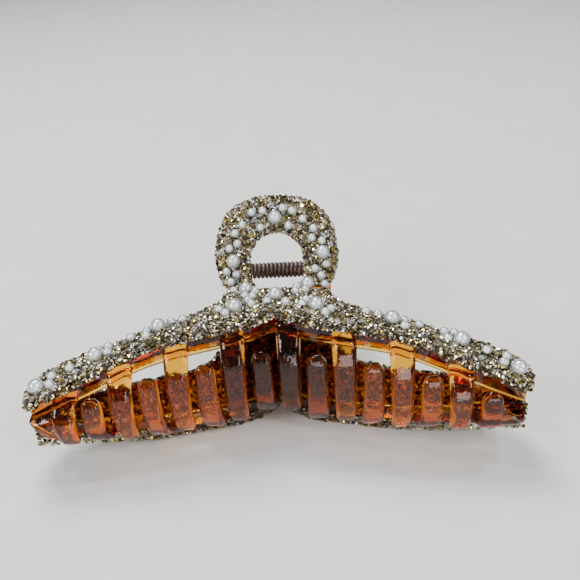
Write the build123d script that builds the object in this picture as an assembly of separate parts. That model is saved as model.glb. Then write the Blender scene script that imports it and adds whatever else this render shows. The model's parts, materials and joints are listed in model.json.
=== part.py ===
from build123d import *
import math
import os

os.makedirs("parts", exist_ok=True)

# A large claw clip for hair, closed and lying on its lower jaw.  Millimetres.
#
# Clip axes, used while modelling: X runs along the clip, +Y from the teeth to the handles,
# +Z from the lower jaw to the upper jaw.  The hinge pin lies on the X axis.
# Both jaws are the same moulding; the lower one is turned half a turn about Y.
# At the end the whole clip is leaned back until it rests on its lower side.

# ---- driving dimensions -------------------------------------------------------------------

CRUST = 1.4                 # height of the rhinestone crust over the plastic
CRUST_DEPTH = 3.0           # crust's own section, reaching down round the plastic's edges
FRONT_WALL = 1.8            # crust's depth along the front edge, where it wraps over the rim
FRONT_CRUST = 0.9           # crust in front of the plastic's rim
RIM_BULGE = 1.4             # rounding of the rim's front
PLASTIC = 2.6               # wall of the moulded jaws
CROWN = 0.5                 # how much a wing's face bulges
LIP = 2.4                   # depth of the rim's turned-down lip
LIP_FORWARD = 1.3           # lip's front, in front of the rim's upper edge
LIP_THICKNESS = 1.9
TIP_GAP = 0.5               # from the jaw's inner face to the middle plane, at the wing tips
TIP_X = 63.6                # plastic wing tip; the crust adds its own height

# The crusted face of the upper jaw is ruled between two edges: distance from the middle, y, z.
FRONT_EDGE = [(0, -38.7, 16.9), (8, -44.1, 18.7), (29, -49.1, 17.7), (52, -56.0, 11.0), (66, -60.2, 6.4)]
HEEL_EDGE = [(0, -15.4, 5.4), (14, -17.0, 5.5), (29, -26.0, 6.5), (52, -40.0, 7.5), (66, -47.0, 5.3)]
STATIONS = [0, 4, 8, 14, 20, 29, 36, 44, 52, 59, 66]

# Back edge of the neck and wing, seen from above: distance from the middle, y.
NECK_X = 14.2
BACK_LINE = [(NECK_X, -17.0), (15.6, -25.5), (20, -32.6), (29, -37.2), (52, -45.4), (58, -47.9)]
WING_TIP = [(TIP_X, -55.0), (58.5, -63.5)]           # widest point and front of the rounded tip

RING_LEAN = 45.0            # handle rings lean back by this much from the middle plane
RING_FOOT = (-14.5, 5.0)    # y, z of the lower edge of the finger opening, on the crust
RING_HALF_WIDTH = 17.2
RING_TOP = 26.8             # above the foot, along the ring
RING_SHOULDER = 9.6         # where the ring's round top starts
RING_WAIST = (0.9, 4.0)     # inset and height of the narrowing below the shoulder
RING_CROWN = (0.62, 4.6)    # fullness of the round top: share of the half width, and below the top
RING_FOLD = -1.6            # lower edge of the ring plate, from the foot
OPENING_SILL = -0.6         # plastic's edge below the opening, from the foot
OPENING_HALF_WIDTH = 9.0
OPENING_TOP = 17.8
OPENING_CORNER = 3.5
FOLD_RADIUS = 1.9           # bead along the fold between ring and wings
FOLD_CENTRE = (-0.9, -2.1)  # y, z of the bead's axis, from the foot

TEETH = 8                   # per jaw
TOOTH_PITCH = 14.4
FIRST_TOOTH = -54.0
TOOTH_ROOT = (6.6, 3.6)     # width and thickness
TOOTH_TIP = (4.9, 2.6)
TOOTH_LINE = [(6.2, 0.35), (7.2, -0.2), (4.6, -0.63)]   # in front of the rim; share of the rim's height
TOOTH_FULL_HEIGHT = 18.7    # rim height at which teeth stand out fully; less towards the wing tips
TOOTH_CLEAR_SIDE = 3.0      # measured this far outwards, where the other jaw's rim stands forward
TIP_STEPS = [0.35, 0.65, 0.85, 0.95]                # sections of a tooth's rounded end
PADDLE_STATIONS = [-54.0, -57.5, -60.5, -62.8]      # web that closes the tip beside the first tooth
PADDLE_REACH = 10.0         # from the first tooth's middle to where the web would vanish
PADDLE_THICKNESS = 1.9
PADDLE_END = (0.95, 0.35)   # share of a tooth's length that the web covers, beside it and far out

PIN_RADIUS = 1.0
PIN_CLEARANCE = 0.05
PIN_HEAD_RADIUS = 1.8
PIN_HEAD = 0.7
LUG_EYE_RADIUS = 3.1
INNER_LUG = (11.2, 13.6)    # from x to x
OUTER_LUG = (13.9, 16.3)
LUG_BASE = (2.0, 12.5)      # from v to v along the ring's inner face

WIRE = 1.2                  # spring wire diameter
COIL_DIAMETER = 5.2         # outside
COIL_PITCH = 1.3            # closely wound
COIL_TURNS = 14             # whole turns; the legs' own angle adds a little
LEG_LENGTH = 11.0
LEG_RISE = 43.0             # angle between a leg and the handle it pushes

LARGE_PEARL = 4.2           # diameters
SMALL_PEARL = 2.6
LARGE_SEAT = 1.0            # pearl centres, over the crust's face
SMALL_SEAT = 0.35
CHATON = 2.0                # larger round stones set among the crust
CHATON_CROWN = 0.7
CHATON_TABLE = 0.55         # flat top, as a share of the stone's width
CHATON_GIRDLE = 0.1         # half the height of its edge
CHATON_BACK = 0.5
SEAM_X = 18.6               # where the neck's crust meets the wings' crust
RING_SEAM = 1.0             # where the ring's crust meets the neck's, above the foot
RING_CRUST_OUTSIDE = 1.2    # crust beyond the ring's outer edge
RING_CRUST_INSIDE = 0.7     # and into its opening

REST_LEAN = 6.84            # lean of the clip when it lies on its ring tip and the front of both wings

# Larger stones: places on the wings (x, across) and on the ring (x, height above its foot).
STONES = {
    "gold_stones": {
        "wing": [(-55, 0.75), (-39, 0.55), (-21, 0.5), (-4.5, 0.9), (19.5, 0.6), (41, 0.6), (56.5, 0.8)],
        "ring": [(-16.2, 8.6), (-10.4, 22.6), (12.6, 20.6), (15.9, 2.6), (-7.7, 16.2)],
    },
    "clear_stones": {
        "wing": [(-50.5, 0.75), (-35.5, 0.8), (-18.5, 0.75), (-26, 0.6), (22.5, 0.85), (37, 0.85),
                 (52, 0.75), (64, 0.3)],
        "ring": [(-16.6, 11.4), (0.2, 24.9), (15.4, 15.4), (16.6, 12.4), (-6.2, 20.6)],
    },
}

# Pearls on the wings and neck: x, and how far across the crusted face from its back edge (0)
# to its front edge (1).
WING_LARGE = [(-61.5, 0.6), (-47, 0.4), (-31, 0.2), (-10.8, 0.65), (0, 0.53), (11.4, 0.68),
              (31, 0.35), (48.5, 0.25), (61.5, 0.6)]
WING_SMALL = [(-58.2, 0.38), (-57.8, 0.72), (-53.5, 0.4), (-44.4, 0.1), (-47.2, 0.05), (-43.6, 0.45),
              (-38.5, 0.1), (-34.3, 0.08), (-33.4, 0.5), (-28.2, 0.03), (-25, 0.1),
              (-15.2, 0.48), (-13, 0.74), (-9, 0.27), (-6.7, 0.34), (-6.2, 0.18), (-7.6, 0.47),
              (-6.4, 0.62), (-2.1, 0.66), (3, 0.67), (5.5, 0.24), (8.4, 0.16), (5.8, 0.04),
              (7.5, 0.66), (8.6, 0.52), (13.6, 0.82), (15.2, 0.62), (24.5, 0.15), (27.6, 0.15),
              (34.4, 0.1), (33.8, 0.55), (38.2, 0.1), (44.6, 0.02), (44.8, 0.36), (47.3, -0.1),
              (54.4, 0.3), (59.4, 0.22), (58, 0.55)]

# Pearls on the ring: x, and height above the foot of the opening.
RING_LARGE = [(0, 21), (-13, 8.2), (14, 9.8), (-9.5, -0.3), (9.1, 0.5)]
RING_SMALL = [(-7, 23), (-3.7, 23.4), (2.4, 24), (5.3, 23), (8.4, 20.3), (11.5, 17.3), (10.9, 14.4),
              (13.9, 13.4), (-10, 19.3), (-12.3, 16.8), (-11.7, 13.6), (-14.2, 12.2), (-4.5, 18.2),
              (4, 18.4), (-15.2, 5.2), (-12.3, 4.4), (-14, 2.1), (-13.3, -0.5), (14.9, 6.3),
              (11.5, 5), (13.3, 2.9), (14.2, 0.2)]


# ---- small helpers ------------------------------------------------------------------------

def slope_at(points, i):
    """Slope of a smooth line through points, without overshoot between them."""
    if i in (0, len(points) - 1):
        return None
    left = (points[i][1] - points[i - 1][1]) / (points[i][0] - points[i - 1][0])
    right = (points[i + 1][1] - points[i][1]) / (points[i + 1][0] - points[i][0])
    if left * right <= 0:
        return 0.0
    return 2 * left * right / (left + right)


def value_at(points, x):
    """Smooth line through (x, value) points, read at x."""
    last = len(points) - 2
    i = next((k for k in range(last + 1) if x <= points[k + 1][0]), last)
    (x0, y0), (x1, y1) = points[i], points[i + 1]
    span = x1 - x0
    chord = (y1 - y0) / span
    start = slope_at(points, i)
    end = slope_at(points, i + 1)
    start = chord if start is None else start
    end = chord if end is None else end
    t = (x - x0) / span
    return (y0 * (1 + 2 * t) * (1 - t) ** 2 + y1 * t * t * (3 - 2 * t)
            + span * t * (1 - t) * (start * (1 - t) - end * t))


def edge_point(edge, a):
    """Point of a crust edge at distance a from the middle, as a vector in the plane X = 0."""
    y = value_at([(p[0], p[1]) for p in edge], a)
    z = value_at([(p[0], p[2]) for p in edge], a)
    return Vector(0, y, z)


def wing_frame(a):
    """Heel and front of the ruled face, its forward direction and its outward normal."""
    heel = edge_point(HEEL_EDGE, a)
    front = edge_point(FRONT_EDGE, a)
    forward = (front - heel).normalized()
    outward = Vector(0, forward.Z, -forward.Y)
    return heel, front, forward, outward


def back_edge(a):
    """Back edge of the crusted face at distance a from the middle."""
    heel, front, _, _ = wing_frame(a)
    y = value_at(BACK_LINE, a) if a > NECK_X else heel.Y
    return heel + (front - heel) * ((y - heel.Y) / (front.Y - heel.Y))


def wing_point(x, across, height):
    """Point over the crusted face: across runs 0 to 1 from its back edge to its front edge."""
    back = back_edge(abs(x))
    _, front, _, outward = wing_frame(abs(x))
    flat = back + (front - back) * across
    return Vector(x, 0, 0) + flat + outward * (CROWN + height)


LEAN = math.radians(RING_LEAN)
RING_UP = Vector(0, math.cos(LEAN), math.sin(LEAN))
RING_OUT = Vector(0, -math.sin(LEAN), math.cos(LEAN))
FOOT = Vector(0, *RING_FOOT)


def ring_point(x, v, height):
    """Point over the ring's crusted face, v above the foot of the opening."""
    return Vector(x, 0, 0) + FOOT + RING_UP * v + RING_OUT * height


def box_between(low, high):
    """Box from one corner to the other."""
    size = [high[i] - low[i] for i in range(3)]
    return Pos(*low) * Box(*size, align=(Align.MIN, Align.MIN, Align.MIN))


def mirrored(shape):
    """The same shape on the other side of the middle."""
    return mirror(shape, about=Plane.YZ)


# ---- wings --------------------------------------------------------------------------------

def plastic_section(a):
    """Closed section of a wing's plastic at distance a: face, rounded rim, lip, inside, back edge."""
    heel, front, forward, outward = wing_frame(a)
    middle = (heel + front) * 0.5
    top_back = heel - outward * CRUST
    top_middle = middle + outward * (CROWN - CRUST)
    top_front = front - outward * CRUST - forward * FRONT_CRUST
    low_front = top_front - outward * PLASTIC - forward * 1.0
    low_middle = middle + outward * (CROWN - CRUST - PLASTIC)
    low_back = top_back - outward * PLASTIC
    lip_depth = max(0.4, min(LIP, low_front.Z - TIP_GAP - 0.6))
    lip_front = Vector(0, top_front.Y - LIP_FORWARD, top_front.Z - PLASTIC - lip_depth)
    lip_back = lip_front + Vector(0, LIP_THICKNESS, 0)
    lip_low = (lip_front + lip_back) * 0.5 - Vector(0, 0, 0.6)
    outline = [
        ThreePointArc(top_back, top_middle, top_front),
        Bezier(top_front, top_front + forward * RIM_BULGE, lip_front + Vector(0, 0, LIP), lip_front),
        ThreePointArc(lip_front, lip_low, lip_back),
        Bezier(lip_back, lip_back + Vector(0, 0, 0.8), low_front - Vector(0, 0, 0.4), low_front),
        ThreePointArc(low_front, low_middle, low_back),
        Line(low_back, top_back),
    ]
    return Pos(a, 0, 0) * make_face(Wire(outline))


def crust_section(a):
    """Closed section of a wing's crust at distance a, reaching down into the plastic."""
    heel, front, _, outward = wing_frame(a)
    middle = (heel + front) * 0.5 + outward * CROWN
    down = outward * CRUST_DEPTH
    wall_foot = front - outward * FRONT_WALL
    outline = [
        ThreePointArc(heel, middle, front),
        Line(front, wall_foot),
        ThreePointArc(wall_foot, middle - down, heel - down),
        Line(heel - down, heel),
    ]
    return Pos(a, 0, 0) * make_face(Wire(outline))


def wing_plan(grow):
    """Neck and right wing seen from above, grown at the back and round the tip; trims the loft."""
    back = [(x + grow * 0.3, y + grow) for x, y in BACK_LINE]
    back[0] = (NECK_X + grow, BACK_LINE[0][1])
    tip = (WING_TIP[0][0] + grow, WING_TIP[0][1])
    outline = [
        Line((0, 10), (back[0][0], 10)),
        Line((back[0][0], 10), back[0]),
        Spline(back, tangents=[(0, -1), (1, -0.4)]),
        ThreePointArc(back[-1], tip, WING_TIP[1]),
        Line(WING_TIP[1], (0, -80)),
        Line((0, -80), (0, 10)),
    ]
    return extrude(make_face(Wire(outline)), 40, both=True)


def whole_width(section, grow):
    """Both wings from one section rule, with rounded tips."""
    right = loft([section(a) for a in STATIONS]) & wing_plan(grow)
    return right + mirrored(right)


# ---- handle ring --------------------------------------------------------------------------

RING_PLANE = Plane(origin=FOOT, x_dir=(1, 0, 0), z_dir=RING_OUT)


def ring_outline(grow):
    """Outer shape of the handle ring, down to its fold."""
    half = RING_HALF_WIDTH + grow
    neck = NECK_X + grow
    top = RING_TOP + grow
    inset, waist = RING_WAIST
    fullness, drop = RING_CROWN
    edge = [
        Line((-neck, RING_FOLD), (neck, RING_FOLD)),
        Spline([(neck, RING_FOLD), (half - inset, waist), (half, RING_SHOULDER)],
               tangents=[(0.15, 1), (0, 1)]),
        Bezier((half, RING_SHOULDER), (half, top - drop), (half * fullness, top), (0, top)),
        Bezier((0, top), (-half * fullness, top), (-half, top - drop), (-half, RING_SHOULDER)),
        Spline([(-half, RING_SHOULDER), (inset - half, waist), (-neck, RING_FOLD)],
               tangents=[(0, -1), (0.15, -1)]),
    ]
    return make_face(Wire(edge))


def opening_outline(shrink):
    """D-shaped finger opening: flat below, round above."""
    half = OPENING_HALF_WIDTH - shrink
    low = OPENING_SILL + shrink
    top = OPENING_TOP - shrink
    middle = top - half
    corner = OPENING_CORNER
    edge = [
        Line((-half + corner, low), (half - corner, low)),
        RadiusArc((half - corner, low), (half, low + corner), -corner),
        Line((half, low + corner), (half, middle)),
        ThreePointArc((half, middle), (0, top), (-half, middle)),
        Line((-half, middle), (-half, low + corner)),
        RadiusArc((-half, low + corner), (-half + corner, low), -corner),
    ]
    return make_face(Wire(edge))


def ring_plate(upper, lower, grow, shrink):
    """Ring between two heights over its crusted face."""
    plate = extrude(ring_outline(grow), upper - lower)
    hole = extrude(opening_outline(shrink), upper - lower)
    return RING_PLANE * (Pos(0, 0, lower) * (plate - hole))


def fold_bead():
    """Solid bead where the ring folds into the wings."""
    centre = FOOT + Vector(0, *FOLD_CENTRE)
    return Pos(*centre) * Rot(0, 90, 0) * Cylinder(FOLD_RADIUS, 2 * NECK_X)


def lug(span):
    """Ear from the ring's inner face to an eye around the hinge."""
    depth = -CRUST - PLASTIC + 0.8
    low = ring_point(0, LUG_BASE[0], depth)
    high = ring_point(0, LUG_BASE[1], depth)
    eye = Plane.YZ * Circle(LUG_EYE_RADIUS)
    base = Line(low, high)
    cheek = make_hull(Plane.YZ.to_local_coords(eye).edges() + Plane.YZ.to_local_coords(base).edges())
    return extrude(Plane(origin=(span[0], 0, 0), x_dir=(0, 1, 0), z_dir=(1, 0, 0)) * cheek, span[1] - span[0])


# ---- teeth --------------------------------------------------------------------------------

def tooth_path(x, stand):
    """Line of a tooth from inside the rim, over its front and down to the tip.

    stand scales how far the line stands in front of the rim.
    """
    front = edge_point(FRONT_EDGE, abs(x))
    clear = edge_point(FRONT_EDGE, abs(x) + TOOTH_CLEAR_SIDE).Y
    stand *= (front.Z / TOOTH_FULL_HEIGHT) ** 0.7
    points = [
        (front.Y + 2.4, front.Z - CRUST - 2.0),
        (front.Y - 2.4 * stand, front.Z - CRUST - 3.4),
    ]
    points += [(clear - ahead * stand, front.Z * share) for ahead, share in TOOTH_LINE]
    return Spline([Vector(x, y, z) for y, z in points])


def tooth(x):
    """One curved, tapering tooth with a rounded end."""
    path = tooth_path(x, 1)
    round_end = TOOTH_TIP[0] / 2 / path.length
    places = [0.0, 0.1, 0.2, 0.35, 0.5, 0.65, 0.8, 1 - round_end]
    places += [1 - round_end * (1 - share) for share in TIP_STEPS]
    sections = []
    for t in places:
        width = TOOTH_ROOT[0] + (TOOTH_TIP[0] - TOOTH_ROOT[0]) * t
        depth = TOOTH_ROOT[1] + (TOOTH_TIP[1] - TOOTH_ROOT[1]) * t
        into_end = max(0.0, (t - 1 + round_end) / round_end)
        scale = math.sqrt(1 - into_end ** 2)
        place = Plane(origin=path @ t, x_dir=(1, 0, 0), z_dir=path % t)
        sections.append(place * RectangleRounded(width * scale, depth * scale, depth * scale * 0.42))
    return loft(sections)


def paddle_section(x):
    """Section of the web that closes a wing tip beside the outermost tooth."""
    out = (abs(x) - abs(FIRST_TOOTH)) / PADDLE_REACH
    recede = math.sqrt(1 - out * out)
    path = tooth_path(x, recede)
    beside, far_out = PADDLE_END
    end = beside + (far_out - beside) * out
    front = []
    back = []
    for i in range(6):
        t = end * i / 5
        place = path @ t
        along = path % t
        across = Vector(0, -along.Z, along.Y) * (PADDLE_THICKNESS / 2)
        front.append(place + across)
        back.append(place - across)
    outline = [Spline(front), Line(front[-1], back[-1]), Spline(back[::-1]), Line(back[0], front[0])]
    return make_face(Wire(outline))


def paddle():
    """Web from the outermost tooth round to the wing tip."""
    sections = [paddle_section(x) for x in PADDLE_STATIONS]
    return loft(sections)


# ---- the moulded jaw ----------------------------------------------------------------------

def teeth():
    """Row of teeth of one jaw."""
    row = [tooth(FIRST_TOOTH + i * TOOTH_PITCH) for i in range(TEETH)]
    return row + [paddle()]


def jaw():
    """Upper jaw: wings, rim, teeth, handle ring and hinge lugs in one moulding."""
    wings = whole_width(plastic_section, 0)
    ring = ring_plate(-CRUST, -CRUST - PLASTIC, 0, 0)
    lugs = [lug(INNER_LUG), mirrored(lug(OUTER_LUG))]
    bore = Rot(0, 90, 0) * Cylinder(PIN_RADIUS + PIN_CLEARANCE, 60)
    return (wings + [ring, fold_bead()] + lugs + teeth()) - bore


# ---- crust --------------------------------------------------------------------------------

def crust_layer(moulding, seats):
    """Rhinestone crust of the upper jaw, fitted to the plastic and round the pearls in its seats."""
    wings = whole_width(crust_section, CRUST)
    ring = ring_plate(0, -CRUST_DEPTH, RING_CRUST_OUTSIDE, RING_CRUST_INSIDE)
    layer = (wings + ring) - moulding
    return layer - seats


def largest_piece(cut):
    """The main solid of a cut layer, without the crumbs between pearls."""
    return max(cut.solids(), key=lambda piece: piece.volume)


def split_crust(layer):
    """Crust of the ring, of the neck below it and of each wing."""
    far = 200.0
    middle = layer & box_between((-SEAM_X, -far, -far), (SEAM_X, far, far))
    above = RING_PLANE * box_between((-far, RING_SEAM, -far), (far, far, far))
    cuts = {
        "ring_crust": middle & above,
        "neck_crust": middle - above,
        "left_crust": layer & box_between((-far, -far, -far), (-SEAM_X, far, far)),
        "right_crust": layer & box_between((SEAM_X, -far, -far), (far, far, far)),
    }
    return {name: largest_piece(cut) for name, cut in cuts.items()}


# ---- pearls and larger stones -------------------------------------------------------------

def side_of(x):
    """Which stretch of crust a place along the clip belongs to."""
    if abs(x) < SEAM_X:
        return "middle"
    return "left" if x < 0 else "right"


def pearl_spots(wing_spots, ring_spots, seat):
    """Pearl centres of one size, sorted by stretch of crust."""
    spots = {"middle": [], "left": [], "right": []}
    for x, across in wing_spots:
        spots[side_of(x)].append(wing_point(x, across, seat))
    for x, v in ring_spots:
        spots["middle"].append(ring_point(x, v, seat))
    return spots


def pearls(spots, diameter):
    """Separate spheres at the given centres."""
    return [Pos(*spot) * Sphere(diameter / 2) for spot in spots]


def chaton(place):
    """Round stone with a flat table, set along the plane's normal."""
    half = CHATON / 2
    outline = [(0, -CHATON_BACK), (half, -CHATON_GIRDLE), (half, CHATON_GIRDLE),
               (half * CHATON_TABLE, CHATON_CROWN), (0, CHATON_CROWN)]
    stone = revolve(Plane.XZ * Polygon(*outline, align=None), Axis.Z)
    return place * stone


def wing_plane(x, across):
    """Plane on the crusted face of a wing."""
    _, _, forward, outward = wing_frame(abs(x))
    return Plane(origin=wing_point(x, across, 0), x_dir=(1, 0, 0), z_dir=outward)


def ring_plane(x, v):
    """Plane on the crusted face of the ring."""
    return Plane(origin=ring_point(x, v, 0), x_dir=(1, 0, 0), z_dir=RING_OUT)


# ---- hinge --------------------------------------------------------------------------------

def hinge_pin():
    """Steel pin through all four lugs, with a riveted head at each end."""
    half = OUTER_LUG[1] + 0.1
    along = Rot(0, 90, 0)
    shank = along * Cylinder(PIN_RADIUS, 2 * half + PIN_HEAD)
    head = Pos(half + PIN_HEAD / 2, 0, 0) * along * Cylinder(PIN_HEAD_RADIUS, PIN_HEAD)
    rim = head.edges().filter_by(GeomType.CIRCLE).group_by(Axis.X)[-1]
    head = fillet(rim, PIN_HEAD * 0.6)
    return shank + head + mirrored(head)


def torsion_spring():
    """Closely wound coil round the pin, with one straight leg against each handle."""
    radius = (COIL_DIAMETER - WIRE) / 2
    leg_angle = RING_LEAN + LEG_RISE
    end_angle = math.radians(leg_angle + 90)
    turns = COIL_TURNS + 2 * (180 - (leg_angle + 90)) / 360
    half = turns * COIL_PITCH / 2
    start = Plane(origin=(-half, 0, 0), z_dir=(1, 0, 0),
                  x_dir=(0, math.cos(-end_angle), math.sin(-end_angle)))
    coil = start * Helix(COIL_PITCH, 2 * half, radius, lefthand=True)
    first = Line(coil @ 0 - (coil % 0) * LEG_LENGTH, coil @ 0)
    last = Line(coil @ 1, coil @ 1 + (coil % 1) * LEG_LENGTH)
    route = Wire([first, coil, last])
    return sweep(Plane(origin=route @ 0, z_dir=route % 0) * Circle(WIRE / 2), path=route, is_frenet=True)


# ---- assembly -----------------------------------------------------------------------------

TURN_OVER = Rot(0, 180, 0)          # makes the lower jaw from the upper one


def decorated_jaw():
    """Nodes of the upper jaw, by name without its prefix."""
    large = pearl_spots(WING_LARGE, RING_LARGE, LARGE_SEAT)
    small = pearl_spots(WING_SMALL, RING_SMALL, SMALL_SEAT)
    nodes = {}
    for side in large:
        nodes[side + "_large_pearls"] = pearls(large[side], LARGE_PEARL)
        nodes[side + "_small_pearls"] = pearls(small[side], SMALL_PEARL)
    for name, spots in STONES.items():
        nodes[name] = [chaton(wing_plane(*spot)) for spot in spots["wing"]]
        nodes[name] += [chaton(ring_plane(*spot)) for spot in spots["ring"]]
    seats = sum(nodes.values(), [])
    moulding = jaw() - (nodes["middle_large_pearls"] + nodes["middle_small_pearls"])
    nodes["jaw"] = moulding
    nodes.update(split_crust(crust_layer(moulding, seats)))
    return nodes


def as_leaned(shape):
    """From clip axes to the lean that the clip has at rest."""
    return Rot(REST_LEAN, 0, 0) * shape


def as_shape(node):
    """One shape for a node, a group for separate pieces."""
    return Compound(node) if isinstance(node, list) else node


def whole_clip():
    """Every node in clip axes."""
    nodes = {"hinge_pin": hinge_pin(), "torsion_spring": torsion_spring()}
    for name, node in decorated_jaw().items():
        shape = as_shape(node)
        nodes["upper_" + name] = shape
        nodes["lower_" + name] = TURN_OVER * shape
    return nodes


clip = {name: as_leaned(shape) for name, shape in whole_clip().items()}
boxes = [shape.bounding_box() for shape in clip.values()]
middle_y = (min(box.min.Y for box in boxes) + max(box.max.Y for box in boxes)) / 2
to_origin = Pos(0, -middle_y, -min(box.min.Z for box in boxes))
for name, shape in clip.items():
    export_step(to_origin * shape, "parts/" + name + ".step")
print("hinge axis at", to_origin.position)
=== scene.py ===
"""Looks of a rhinestone and pearl claw clip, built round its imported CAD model. Metres."""

import json
import math
import random

import bmesh
import bpy
import numpy as np
from mathutils import Matrix, Quaternion, Vector
from mathutils.bvhtree import BVHTree


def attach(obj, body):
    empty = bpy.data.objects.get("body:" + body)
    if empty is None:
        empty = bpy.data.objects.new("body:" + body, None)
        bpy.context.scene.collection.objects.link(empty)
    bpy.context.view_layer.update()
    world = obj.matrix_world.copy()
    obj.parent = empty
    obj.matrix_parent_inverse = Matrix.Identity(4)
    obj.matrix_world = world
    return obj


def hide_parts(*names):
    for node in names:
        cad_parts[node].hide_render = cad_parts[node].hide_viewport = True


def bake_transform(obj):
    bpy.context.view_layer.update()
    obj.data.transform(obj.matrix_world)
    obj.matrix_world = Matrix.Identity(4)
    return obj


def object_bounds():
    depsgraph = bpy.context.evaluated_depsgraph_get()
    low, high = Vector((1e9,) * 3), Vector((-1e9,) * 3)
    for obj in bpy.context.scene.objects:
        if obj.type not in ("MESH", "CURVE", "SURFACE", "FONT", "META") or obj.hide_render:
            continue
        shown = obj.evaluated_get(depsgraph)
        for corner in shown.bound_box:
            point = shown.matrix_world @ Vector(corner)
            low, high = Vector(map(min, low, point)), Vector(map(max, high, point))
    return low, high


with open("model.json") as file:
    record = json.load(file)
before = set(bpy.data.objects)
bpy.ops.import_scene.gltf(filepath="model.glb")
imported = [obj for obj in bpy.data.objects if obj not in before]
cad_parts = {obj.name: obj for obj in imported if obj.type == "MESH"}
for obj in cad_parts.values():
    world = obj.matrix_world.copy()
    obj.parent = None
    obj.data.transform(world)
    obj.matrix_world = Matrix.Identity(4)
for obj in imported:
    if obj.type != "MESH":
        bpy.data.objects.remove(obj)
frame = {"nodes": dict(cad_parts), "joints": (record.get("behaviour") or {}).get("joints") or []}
CAD_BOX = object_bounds()

MM = 0.001
JAWS = ("upper", "lower")
CRUSTS = ("ring", "neck", "left", "right")
STRETCHES = ("middle", "left", "right")
HINGE = Vector(frame["joints"][0]["pos_m"])
LEAN = Matrix.Rotation(math.radians(6.84), 3, "X")     # from the clip's own axes to how it lies
HALF_LENGTH = CAD_BOX[1][0]     # the clip is as long to each side of the middle

# ---- crust of stones ----------------------------------------------------------------------
STONE_SPACING = 1.02 * MM       # centre to centre, at least
STONE_SIZES = (0.52 * MM, 0.80 * MM)        # girdle radius, from small to large
STONE_TRIES = 26                # darts per stone that would fit
STONE_SINK = 0.02 * MM          # stone centres, under the crust's face
STONE_JITTER = 0.20 * MM        # and this much deeper or higher by chance
SMALLEST_ROUND = 0.66 * MM      # stones below this radius have the simpler cut
LARGE_STONE = 1.0 * MM          # girdle radius of the larger stones
BARE_MARGIN = 0.30 * MM         # stone centres keep this far off the plastic and the pearls
EDGE_STAND = {"upper": 0.60 * MM, "lower": 1.25 * MM}   # stones on the crust's front wall stand proud
EDGE_JITTER = 0.40 * MM
EDGE_FACING = 0.6               # how squarely forwards a face looks to count as the front wall
EDGE_SPACING = 0.75 * MM
EDGE_MARGIN = 0.05 * MM         # and this far off the plastic on the front wall
EDGE_TILT = 0.45                # radians, spread of those stones' tilt
ON_BACK_SHARE = 0.6             # of the other stones lie about on their backs
BACK_TILT = 0.55                # radians, spread of their tilt
POINT_TILTS = (1.9, 3.1)        # radians, tilt of the rest
TINT_SPREAD = 0.2               # stones are this much lighter or darker
LARGE_LIFT = 0.1 * MM           # larger stones, over the middle of the CAD's
LARGE_TINT_SPREAD = 0.1
FOLD_SEED = 6                   # added to a jaw's own seed
LARGE_SEED = 7

# ---- stones at the fold, in the clip's own axes from the foot of the finger opening ----------
FOLD_FOOT = Vector((0, -14.5, 5.0)) * MM
FOLD_FROM = (8.0 * MM, 15.6 * MM)           # distance from the middle
FOLD_ALONG = (-2.2 * MM, 1.8 * MM)          # along the ring
FOLD_FACE = -1.4 * MM                       # plastic's outer face, under the crust's
FOLD_FACE_SPREAD = 0.4 * MM
FOLD_SIDE = 13.5 * MM                       # from here outwards the plastic's side takes stones too
FOLD_SIDE_FOOT = -2.6 * MM
FOLD_LIFTS = (1.3 * MM, 0.5 * MM)           # stone centres off the face and off the side
FOLD_JITTER = 0.15 * MM
FOLD_FACE_TURN = 1.2            # how squarely the plastic looks outwards, up to the root of 2
FOLD_SIDE_TURN = 0.8            # how squarely it looks sideways, up to 1
FOLD_GROWTH = 1.1               # these stones are a little larger than the crust's
FOLD_SPACING = 0.85 * MM
FOLD_DARTS = 400000

# ---- spring, measured like the CAD's --------------------------------------------------------
WIRE_RADIUS = 0.6 * MM
COIL_RADIUS = 2.0 * MM          # of the wire's middle line
COIL_PITCH = 1.3 * MM
COIL_TURNS = 14                 # whole turns; the legs' own angle adds a little
COIL_STEPS = 40                 # points of the route per turn
LEG_LENGTH = 11.0 * MM
LEG_PIECES = 12
LEG_ANGLE = math.radians(45 + 43)           # the handles' lean and the legs' rise over them
WIRE_SIDES = 14

# ---- camera, in the clip's own axes: from in front, above, a little rolled ------------------
CAMERA_PLACE = Vector((10.9, -176.6, 139.7)) * MM     # from the hinge
CAMERA_PITCH = 40.0
CAMERA_YAW = 2.56
CAMERA_ROLL = 4.18
LENS = 43.45

# ---- lights: name, place, size, power, colour ----------------------------------------------
WHITE = (1.0, 1.0, 1.0)
LIGHTS = [
    ("key", (-0.15, 0.35, 0.75), 0.35, 7.5, WHITE),
    ("front", (-0.50, -0.45, 0.42), 0.22, 2.6, WHITE),
    ("fill", (0.55, -0.45, 0.5), 0.3, 2.2, (1.0, 0.97, 0.93)),
    ("left_fill", (-0.6, -0.3, 0.45), 0.25, 1.8, (0.94, 0.97, 1.0)),
    ("low_front", (0.15, -0.70, 0.12), 0.30, 1.8, WHITE),
    ("lamp_0", (0.38, -0.40, 0.65), 0.06, 1.1, WHITE),
    ("lamp_1", (-0.35, 0.0, 0.7), 0.06, 1.1, WHITE),
    ("lamp_2", (0.45, 0.1, 0.6), 0.06, 1.1, WHITE),
]
LIGHT_AIM = (0, 0, 0.02)
ROOM_COLOUR = (0.80, 0.82, 0.85, 1)
ROOM_STRENGTH = 0.22
FLOOR_REACH = 3.0


# ---- helpers ------------------------------------------------------------------------------

def new_object(name, data):
    """Object of the given data, in the scene."""
    made = bpy.data.objects.new(name, data)
    bpy.context.scene.collection.objects.link(made)
    return made


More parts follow.
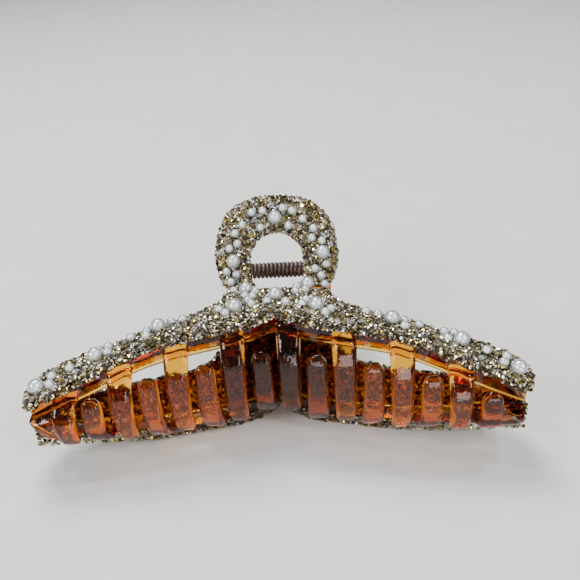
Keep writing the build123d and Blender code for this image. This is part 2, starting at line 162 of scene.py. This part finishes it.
def new_material(name):
    """Empty node material: the material, its nodes, a link function and the output node."""
    material = bpy.data.materials.new(name)
    material.use_nodes = True
    nodes = material.node_tree.nodes
    nodes.clear()
    output = nodes.new("ShaderNodeOutputMaterial")
    return material, nodes, material.node_tree.links.new, output


def node(nodes, kind, **settings):
    """New node with its inputs set by name and its properties by lower-case name."""
    made = nodes.new(kind)
    for key, value in settings.items():
        socket = made.inputs.get(key.replace("_", " "))
        if socket is not None:
            socket.default_value = value
        else:
            setattr(made, key, value)
    return made


def ramp(nodes, stops):
    """Colour ramp from (position, colour) stops."""
    made = nodes.new("ShaderNodeValToRGB")
    elements = made.color_ramp.elements
    while len(elements) < len(stops):
        elements.new(0.5)
    for element, (position, colour) in zip(elements, stops):
        element.position = position
        element.color = (*colour, 1)
    return made


def noise(nodes, link, scale, detail=3.0, roughness=0.5):
    """Noise in object coordinates."""
    place = nodes.new("ShaderNodeTexCoord")
    made = node(nodes, "ShaderNodeTexNoise", Scale=scale, Detail=detail, Roughness=roughness)
    link(place.outputs["Object"], made.inputs["Vector"])
    return made


def bump(nodes, link, height, strength, distance):
    """Bump from a height socket."""
    made = node(nodes, "ShaderNodeBump", Strength=strength, Distance=distance)
    link(height, made.inputs["Height"])
    return made


def multiply(nodes, link, first, second):
    """Product of two colour sockets."""
    made = node(nodes, "ShaderNodeMix", data_type="RGBA", blend_type="MULTIPLY")
    made.inputs["Factor"].default_value = 1.0
    link(first, made.inputs[6])
    link(second, made.inputs[7])
    return made.outputs[2]


# ---- materials ----------------------------------------------------------------------------

def amber_plastic():
    """Clear amber moulding: tinted volume, flow ripples, cloudy streaks, painted shade darkening the middle
    and the tips.
    """
    material, nodes, link, output = new_material("amber_plastic")
    cloud = noise(nodes, link, 60.0, 4.0, 0.6)
    colour = ramp(nodes, [(0.28, (0.97, 0.80, 0.52)), (0.50, (1.0, 0.92, 0.74)), (0.80, (1.0, 0.97, 0.88))])
    link(cloud.outputs["Fac"], colour.inputs["Fac"])
    # painted shade: the base colour is darkened towards the middle and towards the tips, by distance from
    # the middle along the clip
    place = nodes.new("ShaderNodeTexCoord")
    split = nodes.new("ShaderNodeSeparateXYZ")
    link(place.outputs["Object"], split.inputs["Vector"])
    outward = node(nodes, "ShaderNodeMath", operation="ABSOLUTE")
    link(split.outputs["X"], outward.inputs[0])
    share = node(nodes, "ShaderNodeMath", operation="DIVIDE")
    link(outward.outputs[0], share.inputs[0])
    share.inputs[1].default_value = HALF_LENGTH
    along = ramp(nodes, [(0.0, (0.50, 0.36, 0.32)), (0.16, (0.62, 0.48, 0.42)), (0.28, (1.0, 1.0, 1.0)),
                         (0.70, (1.0, 1.0, 1.0)), (0.90, (0.56, 0.36, 0.36))])
    link(share.outputs[0], along.inputs["Fac"])
    mixed = multiply(nodes, link, colour.outputs["Color"], along.outputs["Color"])
    ripple = noise(nodes, link, 210.0, 3.0, 0.55)
    wavy = bump(nodes, link, ripple.outputs["Fac"], 0.5, 0.0005)
    smears = ramp(nodes, [(0.35, (0.02,) * 3), (0.8, (0.10,) * 3)])
    link(cloud.outputs["Fac"], smears.inputs["Fac"])
    shader = node(nodes, "ShaderNodeBsdfPrincipled", IOR=1.42, Transmission_Weight=1.0,
                  Specular_IOR_Level=0.25)
    link(mixed, shader.inputs["Base Color"])
    link(smears.outputs["Color"], shader.inputs["Roughness"])
    link(wavy.outputs["Normal"], shader.inputs["Normal"])
    tint = node(nodes, "ShaderNodeVolumeAbsorption", Color=(0.978, 0.80, 0.0, 1), Density=1050.0)
    link(shader.outputs["BSDF"], output.inputs["Surface"])
    link(tint.outputs["Volume"], output.inputs["Volume"])
    return material


def pearl():
    """Cool white pearl lacquer: bright middle, painted shade darkening towards the edge, with a lighter
    painted reflection ring on the way.
    """
    material, nodes, link, output = new_material("pearl")
    # painted shade by viewing angle: the pearl's white in the middle, darker towards the rim, with a lighter
    # painted reflection ring between
    edge = node(nodes, "ShaderNodeLayerWeight", Blend=0.5)
    white_and_painted_rim_shade = ramp(nodes, [(0.0, (0.82, 0.85, 0.85)), (0.22, (0.62, 0.66, 0.67)), (0.42, (0.30, 0.33, 0.34)),
                         (0.62, (0.50, 0.52, 0.52)), (0.90, (0.22, 0.23, 0.24))])
    link(edge.outputs["Facing"], white_and_painted_rim_shade.inputs["Fac"])
    grain = noise(nodes, link, 900.0, 3.0, 0.6)
    fine = bump(nodes, link, grain.outputs["Fac"], 0.12, 0.00005)
    shader = node(nodes, "ShaderNodeBsdfPrincipled", Roughness=0.25, Metallic=0.3, Coat_Weight=1.0,
                  Coat_Roughness=0.04, Coat_IOR=1.9)
    link(white_and_painted_rim_shade.outputs["Color"], shader.inputs["Base Color"])
    link(fine.outputs["Normal"], shader.inputs["Normal"])
    link(shader.outputs["BSDF"], output.inputs["Surface"])
    return material


def stone(name, metallic, roughness, lift):
    """Faceted stone; its tint, the stone's colour times a painted reflection brightness, is set per facet in
    the mesh.
    """
    material, nodes, link, output = new_material(name)
    # the stone's colour with its painted reflections, per facet
    tint = node(nodes, "ShaderNodeAttribute", attribute_name="tint")
    flaw = noise(nodes, link, 2500.0, 2.0, 0.5)
    shade = ramp(nodes, [(0.3, (lift * 0.75,) * 3), (0.7, (lift,) * 3)])
    link(flaw.outputs["Fac"], shade.inputs["Fac"])
    mixed = multiply(nodes, link, tint.outputs["Color"], shade.outputs["Color"])
    shader = node(nodes, "ShaderNodeBsdfPrincipled", Metallic=metallic, Roughness=roughness, IOR=1.6,
                  Coat_Weight=0.5, Coat_Roughness=0.02)
    link(mixed, shader.inputs["Base Color"])
    link(shader.outputs["BSDF"], output.inputs["Surface"])
    return material


def glue_bed():
    """Bed of the smallest stones and grit in cured glue: a mosaic of dull and bright grains."""
    material, nodes, link, output = new_material("glue_bed")
    place = nodes.new("ShaderNodeTexCoord")
    cells = node(nodes, "ShaderNodeTexVoronoi", Scale=1300.0)
    link(place.outputs["Object"], cells.inputs["Vector"])
    pick = nodes.new("ShaderNodeSeparateColor")
    link(cells.outputs["Color"], pick.inputs["Color"])
    colour = ramp(nodes, [(0.10, (0.020, 0.016, 0.010)), (0.45, (0.12, 0.095, 0.050)),
                          (0.72, (0.34, 0.28, 0.16)), (0.93, (0.80, 0.76, 0.66))])
    link(pick.outputs["Red"], colour.inputs["Fac"])
    facets = bump(nodes, link, cells.outputs["Distance"], 1.0, 0.0006)
    shader = node(nodes, "ShaderNodeBsdfPrincipled", Roughness=0.18, Metallic=0.6)
    link(colour.outputs["Color"], shader.inputs["Base Color"])
    link(facets.outputs["Normal"], shader.inputs["Normal"])
    link(shader.outputs["BSDF"], output.inputs["Surface"])
    return material


def wire():
    """Dark brown lacquered spring wire."""
    material, nodes, link, output = new_material("spring_wire")
    wear = noise(nodes, link, 700.0, 4.0, 0.6)
    colour = ramp(nodes, [(0.35, (0.12, 0.078, 0.076)), (0.7, (0.24, 0.170, 0.165))])
    link(wear.outputs["Fac"], colour.inputs["Fac"])
    rough = ramp(nodes, [(0.3, (0.28,) * 3), (0.75, (0.50,) * 3)])
    link(wear.outputs["Fac"], rough.inputs["Fac"])
    scuffs = bump(nodes, link, wear.outputs["Fac"], 0.2, 0.00004)
    shader = node(nodes, "ShaderNodeBsdfPrincipled", Metallic=0.55)
    link(colour.outputs["Color"], shader.inputs["Base Color"])
    link(rough.outputs["Color"], shader.inputs["Roughness"])
    link(scuffs.outputs["Normal"], shader.inputs["Normal"])
    link(shader.outputs["BSDF"], output.inputs["Surface"])
    return material


def steel():
    """Drawn steel pin with fine marks along it."""
    material, nodes, link, output = new_material("pin_steel")
    marks = noise(nodes, link, 1500.0, 3.0, 0.6)
    colour = ramp(nodes, [(0.3, (0.36, 0.32, 0.30)), (0.7, (0.56, 0.52, 0.50))])
    link(marks.outputs["Fac"], colour.inputs["Fac"])
    rough = ramp(nodes, [(0.3, (0.22,) * 3), (0.7, (0.40,) * 3)])
    link(marks.outputs["Fac"], rough.inputs["Fac"])
    shader = node(nodes, "ShaderNodeBsdfPrincipled", Metallic=1.0)
    link(colour.outputs["Color"], shader.inputs["Base Color"])
    link(rough.outputs["Color"], shader.inputs["Roughness"])
    link(shader.outputs["BSDF"], output.inputs["Surface"])
    return material


MATERIALS = {
    "amber": amber_plastic(),
    "pearl": pearl(),
    "crown": stone("stone_crown", 0.75, 0.05, 1.0),
    "foil": stone("stone_foil", 1.0, 0.14, 0.9),
    "bed": glue_bed(),
    "wire": wire(),
    "steel": steel(),
}


# ---- stones -------------------------------------------------------------------------------

CHAMPAGNE = (0.70, 0.60, 0.38)
GOLD = (0.70, 0.50, 0.15)
OLIVE = (0.34, 0.29, 0.14)
SMOKE = (0.30, 0.27, 0.23)
CLEAR = (0.88, 0.86, 0.81)
CRUST_TINTS = [(CHAMPAGNE, 0.30), (GOLD, 0.16), (OLIVE, 0.22), (SMOKE, 0.14), (CLEAR, 0.18)]
LARGE_TINTS = {"gold": (0.90, 0.68, 0.22), "clear": (0.95, 0.95, 0.94)}
PAINTED_FACET_REFLECTIONS = (0.12, 0.25, 0.45, 0.7, 1.0, 1.15)        # painted reflections: each facet draws one of these, darker or lighter, for dark and bright surroundings mirrored in it


def brilliant(sides, table, crown, girdle, pavilion):
    """Points and faces of a faceted stone with its girdle at z = 0 and radius 1.

    Faces come with a flag: 1 for the foiled back.
    """
    points = []
    for z, radius, turn in ((crown, table, 0.0), (girdle, 1.0, 0.5), (-girdle, 1.0, 0.5)):
        for i in range(sides):
            angle = (i + turn) * math.tau / sides
            points.append((radius * math.cos(angle), radius * math.sin(angle), z))
    points.append((0, 0, -pavilion))
    tip = len(points) - 1
    faces = [(tuple(range(sides)), 0)]
    for i in range(sides):
        j = (i + 1) % sides
        faces.append(((i, sides + i, j), 0))
        faces.append(((j, sides + i, sides + j), 0))
        faces.append(((sides + i, 2 * sides + i, 2 * sides + j, sides + j), 1))
        faces.append(((2 * sides + i, tip, 2 * sides + j), 1))
    return np.array(points), faces


SMALL_CUT = brilliant(6, 0.55, 0.42, 0.06, 0.95)
ROUND_CUT = brilliant(8, 0.58, 0.40, 0.05, 0.80)


class StoneMesh:
    """Collects many stones into one mesh with a tint for each facet: the stone's colour, darker or lighter
    by a painted reflection.
    """

    def __init__(self, name, rng):
        self.name = name
        self.rng = rng
        self.points = []
        self.faces = []
        self.slots = []
        self.tints_with_painted_reflections = []
        self.count = 0

    def add(self, cut, centre, turn, size, tint):
        """One stone of the given cut, turned by a quaternion."""
        points, faces = cut
        placed = points * size @ np.array(turn.to_matrix()).T + np.array(centre)
        placed[:, 2] += max(0.0, -placed[:, 2].min())       # nothing below the table
        self.points.append(placed)
        for corners, foil in faces:
            self.faces.append([c + self.count for c in corners])
            self.slots.append(foil)
            # painted reflections: each facet is made darker or lighter at random, standing in for dark and
            # bright surroundings mirrored in it
            gain = self.rng.choice(PAINTED_FACET_REFLECTIONS)
            self.tints_with_painted_reflections += [tuple(min(1.0, c * gain) for c in tint)] * len(corners)
        self.count += len(points)

    def build(self, body, replaced):
        """The finished object, riding on a body."""
        mesh = bpy.data.meshes.new(self.name)
        mesh.from_pydata(np.concatenate(self.points).tolist(), [], self.faces)
        mesh.materials.append(MATERIALS["crown"])
        mesh.materials.append(MATERIALS["foil"])
        mesh.polygons.foreach_set("material_index", self.slots)
        paint = mesh.color_attributes.new("tint", "FLOAT_COLOR", "CORNER")
        paint.data.foreach_set("color", np.array([(*t, 1) for t in self.tints_with_painted_reflections], np.float32).ravel())
        piece = new_object(self.name, mesh)
        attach(piece, body)
        if replaced:
            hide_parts(*replaced)


def shade_of(tint, rng, spread):
    """A tint, a little lighter or darker."""
    gain = 1 + rng.uniform(-spread, spread)
    return tuple(min(1.0, c * gain) for c in tint)


def loose_parts(mesh):
    """Vertex places of each separate piece of a mesh."""
    parent = list(range(len(mesh.vertices)))

    def root(i):
        while parent[i] != i:
            parent[i] = parent[parent[i]]
            i = parent[i]
        return i

    seen = {}
    for i, vertex in enumerate(mesh.vertices):
        key = tuple(round(c * 1e6) for c in vertex.co)
        if key in seen:
            parent[root(i)] = root(seen[key])
        seen[key] = i
    for edge in mesh.edges:
        a, b = edge.vertices
        parent[root(a)] = root(b)
    groups = {}
    for i, vertex in enumerate(mesh.vertices):
        groups.setdefault(root(i), []).append(vertex.co.copy())
    return [np.array(places) for places in groups.values()]


def ball_of(places):
    """Centre and radius of a sphere's vertices."""
    low, high = places.min(0), places.max(0)
    return Vector((low + high) / 2), float((high - low).max() / 2)


def tree_of(node_name):
    """Search tree over a CAD node's faces."""
    mesh = frame["nodes"][node_name].data
    corners = [v.co.copy() for v in mesh.vertices]
    return BVHTree.FromPolygons(corners, [tuple(p.vertices) for p in mesh.polygons])


def face_darts(mesh, count, rng):
    """Random points on a mesh with their normals, spread by area."""
    mesh.calc_loop_triangles()
    corners = np.array([v.co for v in mesh.vertices])
    triangles = np.array([t.vertices for t in mesh.loop_triangles])
    a, b, c = (corners[triangles[:, k]] for k in range(3))
    across = np.cross(b - a, c - a)
    area = np.linalg.norm(across, axis=1) / 2
    chosen = rng.choice(len(area), count, p=area / area.sum())
    u, v = rng.random(count), rng.random(count)
    flip = u + v > 1
    u[flip], v[flip] = 1 - u[flip], 1 - v[flip]
    places = a[chosen] + (b - a)[chosen] * u[:, None] + (c - a)[chosen] * v[:, None]
    normals = across[chosen] / (2 * area[chosen, None] + 1e-30)
    return places, normals, area.sum()


def on_front_wall(normal):
    """Whether a face of the wings' crust belongs to its front wall."""
    return -normal[1] > EDGE_FACING


def scatter(crust_name, jaw_tree, balls, seed):
    """Stone places and normals over the free faces of a crust, no closer than the spacing."""
    rng = np.random.default_rng(seed)
    mesh = frame["nodes"][crust_name].data
    _, _, area = face_darts(mesh, 1, rng)
    count = int(area / STONE_SPACING ** 2 * STONE_TRIES)
    places, normals, _ = face_darts(mesh, count, rng)
    centres = np.array([b[0] for b in balls])
    radii = np.array([b[1] for b in balls])
    ring = "_ring_" in crust_name
    taken = {}
    kept = []
    for place, normal in zip(places, normals):
        wall = not ring and on_front_wall(normal)
        spacing = EDGE_SPACING if wall else STONE_SPACING
        margin = EDGE_MARGIN if wall else BARE_MARGIN
        key = tuple(np.floor(place / STONE_SPACING).astype(int))
        near = [q for dx in (-1, 0, 1) for dy in (-1, 0, 1) for dz in (-1, 0, 1)
                for q in taken.get((key[0] + dx, key[1] + dy, key[2] + dz), ())]
        if any(((q - place) ** 2).sum() < spacing * spacing for q in near):
            continue
        if (np.linalg.norm(centres - place, axis=1) < radii + BARE_MARGIN).any():
            continue
        _, _, _, gap = jaw_tree.find_nearest(Vector(place))
        if gap is not None and gap < margin:
            continue
        taken.setdefault(key, []).append(place)
        kept.append((Vector(place), Vector(normal)))
    return kept


def pick_tint(rng):
    """A crust tint, by its share."""
    draw = rng.random()
    for tint, share in CRUST_TINTS:
        if draw < share:
            return tint
        draw -= share
    return CLEAR


def stone_turn(normal, rng):
    """Random turn of a crust stone: most lie on their backs, some point outwards."""
    spin = Quaternion((0, 0, 1), rng.uniform(0, math.tau))
    on_back = rng.random() < ON_BACK_SHARE
    tilt = rng.gauss(0, BACK_TILT) if on_back else rng.uniform(*POINT_TILTS)
    lean = Quaternion((1, 0, 0), tilt)
    swing = Quaternion((0, 0, 1), rng.uniform(0, math.tau))
    return normal.to_track_quat("Z", "Y") @ swing @ lean @ spin


def edge_turn(normal, rng):
    """Random turn of a stone on the front wall, its point outwards."""
    swing = Quaternion((0, 0, 1), rng.uniform(0, math.tau))
    lean = Quaternion((1, 0, 0), rng.gauss(math.pi, EDGE_TILT))
    return normal.to_track_quat("Z", "Y") @ swing @ lean


def crust_stones(jaw, stretch, jaw_tree, balls, seed):
    """All small stones of one stretch of crust; those on the front wall stand out in points."""
    rng = random.Random(seed)
    stones = StoneMesh(f"{jaw}_{stretch}_stones", rng)
    for place, normal in scatter(f"{jaw}_{stretch}_crust", jaw_tree, balls, seed):
        size = rng.uniform(*STONE_SIZES)
        cut = SMALL_CUT if size < SMALLEST_ROUND else ROUND_CUT
        depth = STONE_SINK + rng.uniform(-STONE_JITTER, STONE_JITTER)
        turn = stone_turn(normal, rng)
        if stretch != "ring" and on_front_wall(normal):
            depth = -EDGE_STAND[jaw] - rng.uniform(0, EDGE_JITTER)
            turn = edge_turn(normal, rng)
        tint = shade_of(pick_tint(rng), rng, TINT_SPREAD)
        stones.add(cut, place - normal * depth, turn, size, tint)
    stones.build(jaw + "_half", [])


def in_clip_axes(jaw, vector):
    """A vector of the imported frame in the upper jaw's own axes; the lower jaw is turned over."""
    local = LEAN.transposed() @ vector
    return local if jaw == "upper" else Vector((-local.x, local.y, -local.z))


def fold_lift(jaw, place, normal):
    """How far a stone stands off the plastic of the fold there, or None for no stone."""
    local = in_clip_axes(jaw, place - HINGE) - FOLD_FOOT
    outward = in_clip_axes(jaw, normal)
    along = (local.y + local.z) / math.sqrt(2)
    height = (local.z - local.y) / math.sqrt(2)
    if not (FOLD_FROM[0] < abs(local.x) < FOLD_FROM[1] and FOLD_ALONG[0] < along < FOLD_ALONG[1]):
        return None
    if abs(height - FOLD_FACE) < FOLD_FACE_SPREAD and outward.z - outward.y > FOLD_FACE_TURN:
        return FOLD_LIFTS[0]
    sideways = abs(local.x) > FOLD_SIDE and abs(outward.x) > FOLD_SIDE_TURN
    if sideways and FOLD_SIDE_FOOT < height < FOLD_FACE:
        return FOLD_LIFTS[1]
    return None


def fold_stones(jaw, seed):
    """Stones set straight on the plastic where the ring's crust and the neck's crust meet."""
    rng = random.Random(seed)
    stones = StoneMesh(jaw + "_fold_stones", rng)
    source = np.random.default_rng(seed)
    places, normals, _ = face_darts(frame["nodes"][jaw + "_jaw"].data, FOLD_DARTS, source)
    kept = []
    for place, normal in zip(map(Vector, places), map(Vector, normals)):
        lift = fold_lift(jaw, place, normal)
        if lift is None or any((q - place).length < FOLD_SPACING for q in kept):
            continue
        kept.append(place)
        centre = place + normal * (lift + rng.uniform(-FOLD_JITTER, FOLD_JITTER))
        turn = stone_turn(normal, rng)
        size = rng.uniform(*STONE_SIZES) * FOLD_GROWTH
        stones.add(ROUND_CUT, centre, turn, size, shade_of(pick_tint(rng), rng, TINT_SPREAD))
    stones.build(jaw + "_half", [])


def facing_of(places):
    """Outward axis of a flat stone's vertices: the direction in which it is thinnest."""
    middle = places.mean(0)
    _, _, axes = np.linalg.svd(places - middle)
    return Vector(axes[2])


def large_stones(jaw, kind, tint, jaw_tree, seed):
    """Faceted stones in place of the CAD's plain ones."""
    rng = random.Random(seed)
    node_name = f"{jaw}_{kind}_stones"
    stones = StoneMesh(node_name + "_cut", rng)
    for places in loose_parts(frame["nodes"][node_name].data):
        middle = Vector((places.min(0) + places.max(0)) / 2)
        axis = facing_of(places)
        nearest, _, _, _ = jaw_tree.find_nearest(middle)
        if axis.dot(middle - nearest) < 0:
            axis = -axis
        spin = Quaternion((0, 0, 1), rng.uniform(0, math.tau))
        turn = axis.to_track_quat("Z", "Y") @ spin
        shade = shade_of(tint, rng, LARGE_TINT_SPREAD)
        stones.add(ROUND_CUT, middle + axis * LARGE_LIFT, turn, LARGE_STONE, shade)
    stones.build(jaw + "_half", [node_name])


# ---- dressing the CAD nodes ---------------------------------------------------------------

def dress(node_name, material):
    """Gives a CAD node its material."""
    part = frame["nodes"][node_name]
    part.data.materials.clear()
    part.data.materials.append(material)


def pearl_balls(jaw):
    """Centre and radius of each pearl and large stone of a jaw."""
    balls = []
    for stretch in STRETCHES:
        for size in ("large", "small"):
            mesh = frame["nodes"][f"{jaw}_{stretch}_{size}_pearls"].data
            balls += [ball_of(places) for places in loose_parts(mesh)]
    for kind in LARGE_TINTS:
        mesh = frame["nodes"][f"{jaw}_{kind}_stones"].data
        balls += [ball_of(places) for places in loose_parts(mesh)]
    return balls


def dress_jaw(jaw, seed):
    """One jaw: plastic, crust with stones, pearls."""
    dress(f"{jaw}_jaw", MATERIALS["amber"])
    tree = tree_of(f"{jaw}_jaw")
    balls = pearl_balls(jaw)
    for stretch in STRETCHES:
        for size in ("large", "small"):
            dress(f"{jaw}_{stretch}_{size}_pearls", MATERIALS["pearl"])
    for i, stretch in enumerate(CRUSTS):
        dress(f"{jaw}_{stretch}_crust", MATERIALS["bed"])
        crust_stones(jaw, stretch, tree, balls, seed + i)
    fold_stones(jaw, seed + FOLD_SEED)
    for i, (kind, tint) in enumerate(LARGE_TINTS.items()):
        large_stones(jaw, kind, tint, tree, seed + LARGE_SEED + i)


for number, jaw_name in enumerate(JAWS):
    dress_jaw(jaw_name, 100 * (number + 1))
dress("hinge_pin", MATERIALS["steel"])


# ---- spring -------------------------------------------------------------------------------

def tube(name, route, radius, sides):
    """Round wire along a list of points, with closed ends."""
    shape = bmesh.new()
    rings = []
    side = None
    for i, point in enumerate(route):
        along = (route[min(i + 1, len(route) - 1)] - route[max(i - 1, 0)]).normalized()
        if side is None:
            side = along.orthogonal().normalized()
        side = (side - along * side.dot(along)).normalized()
        other = along.cross(side)
        ring = []
        for k in range(sides):
            angle = k * math.tau / sides
            ring.append(shape.verts.new(point + (side * math.cos(angle) + other * math.sin(angle)) * radius))
        rings.append(ring)
    for first, second in zip(rings, rings[1:]):
        for k in range(sides):
            n = (k + 1) % sides
            shape.faces.new((first[k], first[n], second[n], second[k]))
    shape.faces.new(rings[0][::-1])
    shape.faces.new(rings[-1])
    mesh = bpy.data.meshes.new(name)
    shape.to_mesh(mesh)
    shape.free()
    mesh.polygons.foreach_set("use_smooth", [True] * len(mesh.polygons))
    return new_object(name, mesh)


def spring_route(turns, half):
    """Points along the spring's wire, in the clip's own axes: leg, coil, leg."""
    end_angle = LEG_ANGLE + math.pi / 2
    coil = []
    steps = int(turns * COIL_STEPS)
    for i in range(steps + 1):
        x = -half + 2 * half * i / steps
        angle = -end_angle - math.tau * turns * i / steps
        coil.append(Vector((x, COIL_RADIUS * math.cos(angle), COIL_RADIUS * math.sin(angle))))
    drift = COIL_PITCH / math.tau
    across = COIL_RADIUS * math.cos(LEG_ANGLE)
    rise = COIL_RADIUS * math.sin(LEG_ANGLE)
    first = Vector((-drift, across, -rise)).normalized()
    last = Vector((drift, across, rise)).normalized()
    lower_leg = [coil[0] + first * LEG_LENGTH * (1 - i / LEG_PIECES) for i in range(LEG_PIECES)]
    upper_leg = [coil[-1] + last * LEG_LENGTH * (i + 1) / LEG_PIECES for i in range(LEG_PIECES)]
    return lower_leg + coil + upper_leg


def coil_spring():
    """Closely wound spring with one leg against each handle."""
    turns = COIL_TURNS + 2 * (math.pi - (LEG_ANGLE + math.pi / 2)) / math.tau
    half = turns * COIL_PITCH / 2
    route = [HINGE + LEAN @ point for point in spring_route(turns, half)]
    spring = tube("spring_wire", route, WIRE_RADIUS, WIRE_SIDES)
    spring.data.materials.append(MATERIALS["wire"])
    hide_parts("torsion_spring")
    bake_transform(spring)


coil_spring()


# ---- floor, lights, camera ----------------------------------------------------------------

def floor():
    """Pale plain floor."""
    mesh = bpy.data.meshes.new("floor")
    corners = [(x * FLOOR_REACH, y * FLOOR_REACH, 0) for x, y in ((-1, -1), (1, -1), (1, 1), (-1, 1))]
    mesh.from_pydata(corners, [], [(0, 1, 2, 3)])
    plane = new_object("floor", mesh)
    material, nodes, link, output = new_material("floor_paper")
    grain = noise(nodes, link, 60.0, 3.0, 0.5)
    colour = ramp(nodes, [(0.3, (0.70, 0.69, 0.67)), (0.7, (0.74, 0.73, 0.71))])
    link(grain.outputs["Fac"], colour.inputs["Fac"])
    shader = node(nodes, "ShaderNodeBsdfPrincipled", Roughness=0.75)
    link(colour.outputs["Color"], shader.inputs["Base Color"])
    link(shader.outputs["BSDF"], output.inputs["Surface"])
    mesh.materials.append(material)


def area_light(name, place, aim, size, power, colour):
    """Square soft light at place, facing aim."""
    data = bpy.data.lights.new(name, "AREA")
    data.size = size
    data.energy = power
    data.color = colour
    light = new_object(name, data)
    light.location = place
    light.rotation_mode = "QUATERNION"
    light.rotation_quaternion = (Vector(aim) - Vector(place)).to_track_quat("-Z", "Y")


def lights():
    """Soft key from above and behind, fills, small lamps for sparkle and a dim room."""
    for name, place, size, power, colour in LIGHTS:
        area_light(name, place, LIGHT_AIM, size, power, colour)
    world = bpy.data.worlds.new("room")
    bpy.context.scene.world = world
    world.use_nodes = True
    background = world.node_tree.nodes["Background"]
    background.inputs["Color"].default_value = ROOM_COLOUR
    background.inputs["Strength"].default_value = ROOM_STRENGTH


def camera():
    """Camera in front of the clip, looking down on it, rolled a little."""
    pitch, yaw, roll = (math.radians(v) for v in (CAMERA_PITCH, CAMERA_YAW, CAMERA_ROLL))
    ahead = LEAN @ Vector((-math.sin(yaw) * math.cos(pitch), math.cos(yaw) * math.cos(pitch),
                           -math.sin(pitch)))
    right = LEAN @ Vector((math.cos(yaw), math.sin(yaw), 0))
    up = right.cross(ahead)
    tipped_right = right * math.cos(roll) - up * math.sin(roll)
    tipped_up = right * math.sin(roll) + up * math.cos(roll)
    data = bpy.data.cameras.new("camera")
    data.lens = LENS
    data.clip_start = 0.01
    data.clip_end = 20
    shot = new_object("camera", data)
    axes = Matrix((tipped_right, tipped_up, -ahead)).transposed().to_4x4()
    shot.matrix_world = Matrix.Translation(HINGE + LEAN @ CAMERA_PLACE) @ axes
    bpy.context.scene.camera = shot


floor()
lights()
camera()
